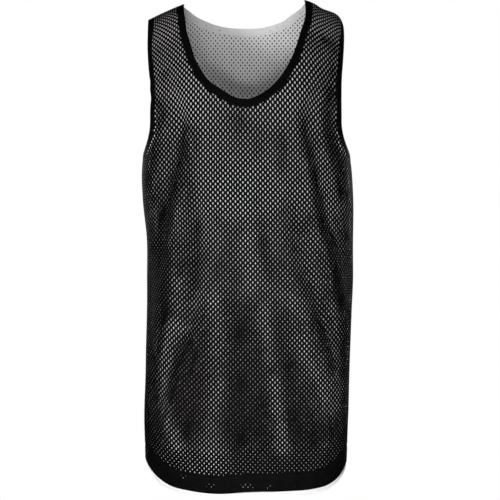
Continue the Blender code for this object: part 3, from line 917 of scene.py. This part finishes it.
def cloth_round_holes(form, sheet, across, level, i, j):
    """The cloth from each open hole out to its four lattice nodes, as points and triangles."""
    corners = corners_of(i, j)
    used = np.zeros(across.shape, bool)
    for corner in corners:
        used[corner] = True
    node_number = np.full(across.shape, -1)
    node_number[used] = np.arange(used.sum())
    nodes = np.column_stack([across[used], level[used], np.full(used.sum(), -CLOTH_RELIEF)])

    east, north, west, south = [np.array([across[corner], level[corner]]) for corner in corners]
    centre = (east + north + west + south) / 4
    size = hole_size(showing(form.side, *centre), *centre) if sheet == "outer" else 1.0
    wide_size = size * HOLE_SIZES[sheet][0] * HOLE_WIDTH
    tall_size = size * HOLE_SIZES[sheet][1] * HOLE_HEIGHT
    wide = (east - west) / PITCH_ACROSS * wide_size / 2
    tall = (north - south) / np.hypot(*(north - south)) * tall_size / 2
    sides = HOLE_SIDES[sheet]
    angles = np.arange(sides) * 2 * np.pi / sides
    ring = centre[..., None] + wide[..., None] * np.cos(angles) + tall[..., None] * np.sin(angles)
    rings = np.column_stack([*ring.reshape(2, -1), np.full(ring[0].size, CLOTH_RELIEF)])

    ring_number = len(nodes) + np.arange(len(i) * sides).reshape(len(i), sides)
    triangles = []
    per_corner = sides // 4
    half = (per_corner + 1) // 2
    for c in range(4):
        here, following = node_number[corners[c]], node_number[corners[(c + 1) % 4]]
        for k in range(per_corner):
            r0 = ring_number[:, (c * per_corner + k) % sides]
            r1 = ring_number[:, (c * per_corner + k + 1) % sides]
            triangles.append(np.stack([here if k < half else following, r1, r0], axis=1))
        middle = ring_number[:, (c * per_corner + half) % sides]
        triangles.append(np.stack([here, following, middle], axis=1))
    return np.concatenate([nodes, rings]), np.concatenate(triangles)


def closed_cloth(across, level, inside, holes):
    """Closed cloth in place of the holes that an edge cuts, as points and triangles."""
    points, triangles = [], []
    for i, j in holes:
        around = [
            np.concatenate([inside[:, ci, cj], [across[ci, cj], level[ci, cj], -CLOTH_RELIEF]])
            for ci, cj in corners_of(i, j)
        ]
        centre = sum(around) / 4
        centre[-1] = CLOTH_RELIEF
        for p, q in zip(around, around[1:] + around[:1]):
            polygon = [p, q, centre]
            for k in range(len(inside)):
                polygon = clipped(polygon, k)
            first = len(points)
            points += [corner[-3:] for corner in polygon]
            triangles += [(first, first + k, first + k + 1) for k in range(1, len(polygon) - 1)]
    return np.array(points), np.array(triangles)


def perforated(form, cut, sheet, depth):
    """A layer of mesh cloth over a cut, as (across, level, depth) of its points, and triangles."""
    a, b, across, level = lattice(form, sheet)
    inside = cut.distances(across.ravel(), level.ravel()).reshape(-1, *across.shape) - RIM
    if sheet == "turned":
        widths = np.array([width for _, width in cut.edges.values()])[:, None, None]
        inside = np.concatenate([inside, (widths - inside).max(axis=0)[None]])
    inner = np.zeros(a.shape, bool)
    inner[1:-1, 1:-1] = True
    holes = np.argwhere(((a + b) % 2 == 0) & inner)
    around = np.array([inside[:, ci, cj] for ci, cj in corners_of(*holes.T)])
    opened = around.min(axis=(0, 1)) > HOLE_MARGIN
    touched = around.max(axis=0).min(axis=0) > 0
    mesh, mesh_faces = cloth_round_holes(form, sheet, across, level, *holes[opened].T)
    edge, edge_faces = closed_cloth(across, level, inside, holes[touched & ~opened])
    points = np.concatenate([mesh, edge])
    points[:, 2] += depth
    return points, np.concatenate([mesh_faces, edge_faces + len(mesh)])


def welded(points, triangles):
    """The same faces with points that coincide made one, and faces without area left out."""
    keys = np.round(points / WELD).astype(np.int64)
    _, first, number = np.unique(keys, axis=0, return_index=True, return_inverse=True)
    triangles = number.ravel()[triangles]
    a, b, c = triangles.T
    triangles = triangles[(a != b) & (b != c) & (c != a)]
    return points[first], triangles


def grid_faces(rows, columns, closed):
    """Triangles over rows of points, which are rings where they are closed."""
    r, k = np.divmod(np.arange((rows - 1) * columns), columns)
    r, k = (r, k) if closed else (r[k < columns - 1], k[k < columns - 1])
    p, q = r * columns + k, r * columns + (k + 1) % columns
    return np.stack([p, q, q + columns, p, q + columns, p + columns], axis=1).reshape(-1, 3)


def rim(cut, top, bottom):
    """The rounded turn of the cloth along every edge of a panel, from one depth to another."""
    depths = np.array([top, (top + bottom) / 2, bottom])
    points, triangles, number = [], [], 0
    for line, _ in cut.edges.values():
        line = even_steps(line, CURVE_STEP)
        count = len(line)
        for inset, *parts in RIM_PROFILE:
            place = line + inward(line) * (RIM * inset)
            points.append(np.column_stack([place, np.full(count, (parts * depths).sum())]))
        triangles.append(grid_faces(len(RIM_PROFILE), count, False)[:, ::-1] + number)
        number += count * len(RIM_PROFILE)
    return np.concatenate(points), np.concatenate(triangles)


# ---------------- meshes


def mesh_object(name, points, triangles, material, uv=None):
    """A triangle mesh, shaded smooth, with a map of the flat cloth."""
    mesh = bpy.data.meshes.new(name)
    mesh.vertices.add(len(points))
    mesh.vertices.foreach_set("co", np.asarray(points, np.float32).ravel())
    mesh.loops.add(3 * len(triangles))
    mesh.loops.foreach_set("vertex_index", np.asarray(triangles, np.int32).ravel())
    mesh.polygons.add(len(triangles))
    mesh.polygons.foreach_set("loop_start", np.arange(0, 3 * len(triangles), 3, dtype=np.int32))
    mesh.polygons.foreach_set("use_smooth", np.ones(len(triangles), bool))
    mesh.update(calc_edges=True)
    mesh.validate()
    if uv is not None:
        layer = mesh.uv_layers.new(name="OFBake")
        layer.data.foreach_set("uv", np.asarray(uv, np.float32)[np.asarray(triangles).ravel()].ravel())
    mesh.materials.append(material)
    piece = bpy.data.objects.new(name, mesh)
    bpy.context.collection.objects.link(piece)
    return piece


def turned_over(triangles, flip):
    """Triangles that face the other way where flip is true."""
    return triangles[:, ::-1] if flip else triangles


def panel(form, layer, cut, drawn_in, name, material):
    """One sewn panel with its holes, its turned-in edges and the rounded turns between."""
    if layer == "outer":
        depth, turned_depth = OUTER_DEPTH, OUTER_TURNED_DEPTH
    else:
        depth, turned_depth = INNER_DEPTH, INNER_TURNED_DEPTH
    main, main_faces = welded(*perforated(form, cut, layer, depth))
    turned, turned_faces = welded(*perforated(form, cut, "turned", turned_depth))
    edge, edge_faces = rim(cut, depth, turned_depth)
    flip = (form.side == "back") != (layer == "inner")
    faces = np.concatenate([
        turned_over(main_faces, flip),
        turned_over(turned_faces, not flip) + len(main),
        turned_over(edge_faces, form.side == "back") + len(main) + len(turned),
    ])
    across, level, depths = np.concatenate([main, turned, edge]).T
    shift = np.where(np.arange(len(across)) < len(main), 0.0, UV_TURNED_SHIFT)
    uv = np.stack([
        (across - UV_ORIGIN[0]) / UV_SPAN + shift,
        (level - UV_ORIGIN[1]) / UV_SPAN,
    ], axis=1)
    points = form.at(across, level, depths + drawn_in(across, level))
    return mesh_object(name, points, faces, material, uv)


def stitches(form, cut, drawn_in, name, depth, material):
    """Rows of stitches that hold down the turned edges of the neck, the armholes and the hem."""
    at, wide, sunk = np.array(STITCH_SHAPE).T
    angles = 2 * np.pi * np.arange(STITCH_SIDES) / STITCH_SIDES
    spread = STITCH_RADIUS * wide[:, None] * np.cos(angles)
    lift = STITCH_RADIUS * (wide[:, None] * np.sin(angles) - sunk[:, None])
    rings = []
    for edge in GROOVE_DEPTH:
        line = even_steps(cut.edges[edge][0], CURVE_STEP)
        row = line + inward(line) * cut.stitch_line(edge)
        lengths = lengths_along(row)
        starts = np.arange(STITCH_START, lengths[-1] - STITCH_PITCH, STITCH_PITCH)
        middles = [np.interp(starts + STITCH_LENGTH / 2, lengths, row[:, k]) for k in (0, 1)]
        starts = starts[(cut.distances(*middles) > STITCH_CLEAR).all(axis=0)]
        stops = starts[:, None] + STITCH_LENGTH * at
        spine = np.stack([np.interp(stops, lengths, row[:, k]) for k in (0, 1)], axis=-1)
        side = left_of(spine[:, -1] - spine[:, 0])
        place = spine[:, :, None] + side[:, None, None] * spread[..., None]
        depths = np.broadcast_to(depth - lift, place.shape[:-1])
        rings.append(np.concatenate([place, depths[..., None]], axis=-1).reshape(-1, 3))
    across, level, depths = np.concatenate(rings).T
    firsts = np.arange(0, len(across), len(at) * STITCH_SIDES)
    triangles = (firsts[:, None, None] + grid_faces(len(at), STITCH_SIDES, True)).reshape(-1, 3)
    points = form.at(across, level, depths + drawn_in(across, level))
    return mesh_object(name, points, triangles, material)


# ---------------- materials


def new_material(name, roughness, specular):
    """A material with its node tree and its shader."""
    material = bpy.data.materials.new(name)
    material.use_nodes = True
    shader = material.node_tree.nodes["Principled BSDF"]
    shader.inputs["Roughness"].default_value = roughness
    shader.inputs["Specular IOR Level"].default_value = specular
    return material, material.node_tree, shader


def add_node(tree, kind, **inputs):
    """A new node, with its inputs of those names set."""
    node = tree.nodes.new("ShaderNode" + kind)
    for name, value in inputs.items():
        node.inputs[name].default_value = value
    return node


def knit_material(name, color, roughness, specular, bump, fleck):
    """Fine knitted polyester: loops in wales and courses, and a slight unevenness of colour."""
    material, tree, shader = new_material(name, roughness, specular)
    place = add_node(tree, "TexCoord")
    wales = add_node(tree, "TexWave", **KNIT_WALES)
    wales.bands_direction = "X"
    courses = add_node(tree, "TexWave", **KNIT_COURSES)
    courses.bands_direction = "Z"
    loops = add_node(tree, "Math")
    loops.operation = "MULTIPLY"
    lift = add_node(tree, "Bump", Strength=bump, Distance=KNIT_RELIEF)
    cloud = add_node(tree, "TexNoise", **KNIT_CLOUD)
    ramp = add_node(tree, "ValToRGB")
    factors = (1 - fleck, 1 + fleck)
    for stop, position, factor in zip(ramp.color_ramp.elements, KNIT_STOPS, factors):
        stop.position = position
        stop.color = (*[min(c * factor, 1.0) for c in color], 1.0)
    for texture in (wales, courses, cloud):
        tree.links.new(place.outputs["Object"], texture.inputs["Vector"])
    tree.links.new(wales.outputs["Fac"], loops.inputs[0])
    tree.links.new(courses.outputs["Fac"], loops.inputs[1])
    tree.links.new(loops.outputs["Value"], lift.inputs["Height"])
    tree.links.new(lift.outputs["Normal"], shader.inputs["Normal"])
    tree.links.new(cloud.outputs["Fac"], ramp.inputs["Fac"])
    tree.links.new(ramp.outputs["Color"], shader.inputs["Base Color"])
    return material


def glowing_material(name):
    """A black matt surface that glows white."""
    material, _, shader = new_material(name, 1.0, 0.0)
    shader.inputs["Base Color"].default_value = (0.0, 0.0, 0.0, 1.0)
    shader.inputs["Emission Color"].default_value = (1.0, 1.0, 1.0, 1.0)
    shader.inputs["Emission Strength"].default_value = FLOOR_GLOW
    return material


# ---------------- the jersey


def make_jersey():
    """Both layers of the front and of the back, each with its stitches, as the jersey is sewn."""
    looks = {name: knit_material(name, *look) for name, look in LOOKS.items()}
    layers = {
        "outer": ("black", OUTER_DEPTH - CLOTH_RELIEF - STITCH_LIFT),
        "inner": ("white", INNER_DEPTH + CLOTH_RELIEF + STITCH_LIFT),
    }
    for side in ("front", "back"):
        form = Form(side)
        cuts = {layer: Cut(form, layer) for layer in layers}
        drawn_in = cuts["outer"].groove
        for layer, cut in cuts.items():
            color, depth = layers[layer]
            node, slot = f"{layer}_{side}", f"{layer}_mesh"
            cloth, thread = looks[f"{color}_mesh"], looks[f"{color}_thread"]
            piece = panel(form, layer, cut, drawn_in, f"{node}_cloth", cloth)
            sewing = stitches(form, cut, drawn_in, f"{node}_stitches", depth, thread)
            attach(piece, "root")
            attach(sewing, "root")
            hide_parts(node)
            flat, turned, size = cut.flat_size()


# ---------------- the stage


def make_lamp(name, place, size, power, aim_level=BODY_LEVEL):
    """A soft lamp or a spot, aimed at a height on the jersey's axis."""
    data = bpy.data.lights.new(name, "SPOT" if name in BEAMS else "AREA")
    if name in BEAMS:
        data.shadow_soft_size = size
        data.spot_size = np.radians(BEAMS[name])
        data.spot_blend = BEAM_BLEND
    else:
        data.shape = "SQUARE"
        data.size = size
    data.energy = power
    lamp = bpy.data.objects.new(name, data)
    lamp.location = place
    aim = Vector((0.0, 0.0, aim_level)) - Vector(place)
    lamp.rotation_euler = aim.to_track_quat("-Z", "Y").to_euler()
    bpy.context.collection.objects.link(lamp)


def make_stage():
    """A pale floor well below the jersey, soft light and the camera.

    The bright floor and surround are for show: the light comes from the lamps alone.
    """
    bpy.ops.mesh.primitive_circle_add(
        vertices=FLOOR_SIDES, radius=FLOOR_RADIUS, fill_type="NGON", location=(0.0, 0.0, FLOOR_LEVEL)
    )
    floor = bpy.context.object
    floor.name = "floor"
    floor.data.materials.append(glowing_material("floor"))
    floor.visible_diffuse = False
    floor.visible_glossy = False

    world = bpy.data.worlds.new("world")
    world.use_nodes = True
    background = world.node_tree.nodes["Background"]
    background.inputs["Color"].default_value = (1.0, 1.0, 1.0, 1.0)
    background.inputs["Strength"].default_value = 1.0
    world.cycles_visibility.diffuse = False
    world.cycles_visibility.glossy = False
    bpy.context.scene.world = world

    for lamp in LAMPS:
        make_lamp(*lamp)

    data = bpy.data.cameras.new("camera")
    data.lens = CAMERA_LENS
    data.sensor_width = CAMERA_SENSOR
    data.clip_end = CAMERA_REACH
    camera = bpy.data.objects.new("camera", data)
    camera.location = CAMERA_PLACE
    camera.rotation_euler = (np.pi / 2, 0.0, 0.0)
    bpy.context.collection.objects.link(camera)
    bpy.context.scene.camera = camera
    bpy.context.scene.view_settings.view_transform = "Standard"


make_stage()
make_jersey()
